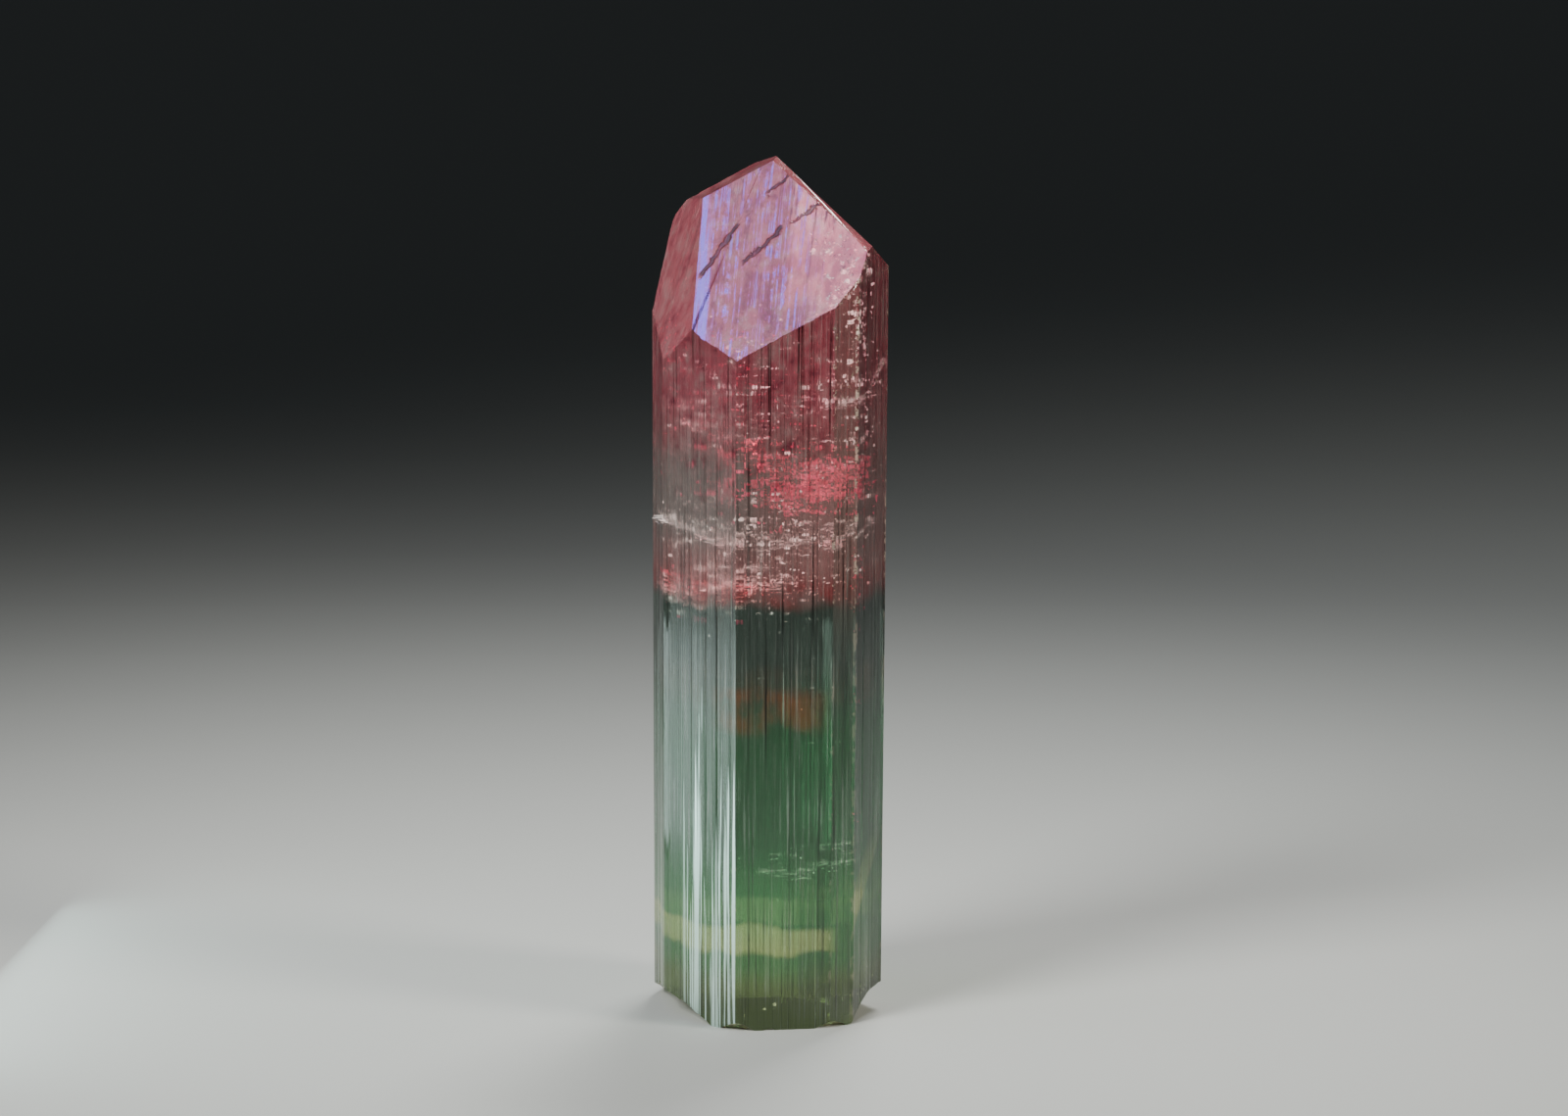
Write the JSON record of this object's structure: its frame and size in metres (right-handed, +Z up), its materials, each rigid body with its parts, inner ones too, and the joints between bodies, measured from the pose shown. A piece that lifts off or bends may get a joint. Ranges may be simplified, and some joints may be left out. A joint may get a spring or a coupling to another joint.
{
  "type": "elbaite tourmaline crystal",
  "caption": "Bicolour elbaite tourmaline crystal: a striated prism, pink above and green below, with a slanting flat-faced top and a broken base it stands on.",
  "frame": {"origin": "centre of the bounds, at the broken base the crystal stands on", "axes": "+Z up along the crystal's length, -Y towards the viewer of the picture, +X to the picture's right"},
  "size_m": [0.0132, 0.0138, 0.048],
  "materials": {
    "elbaite": "clear, glossy, vertically striated"
  },
  "bodies": {
    "root": {"crystal": "elbaite"}
  },
  "joints": []
}
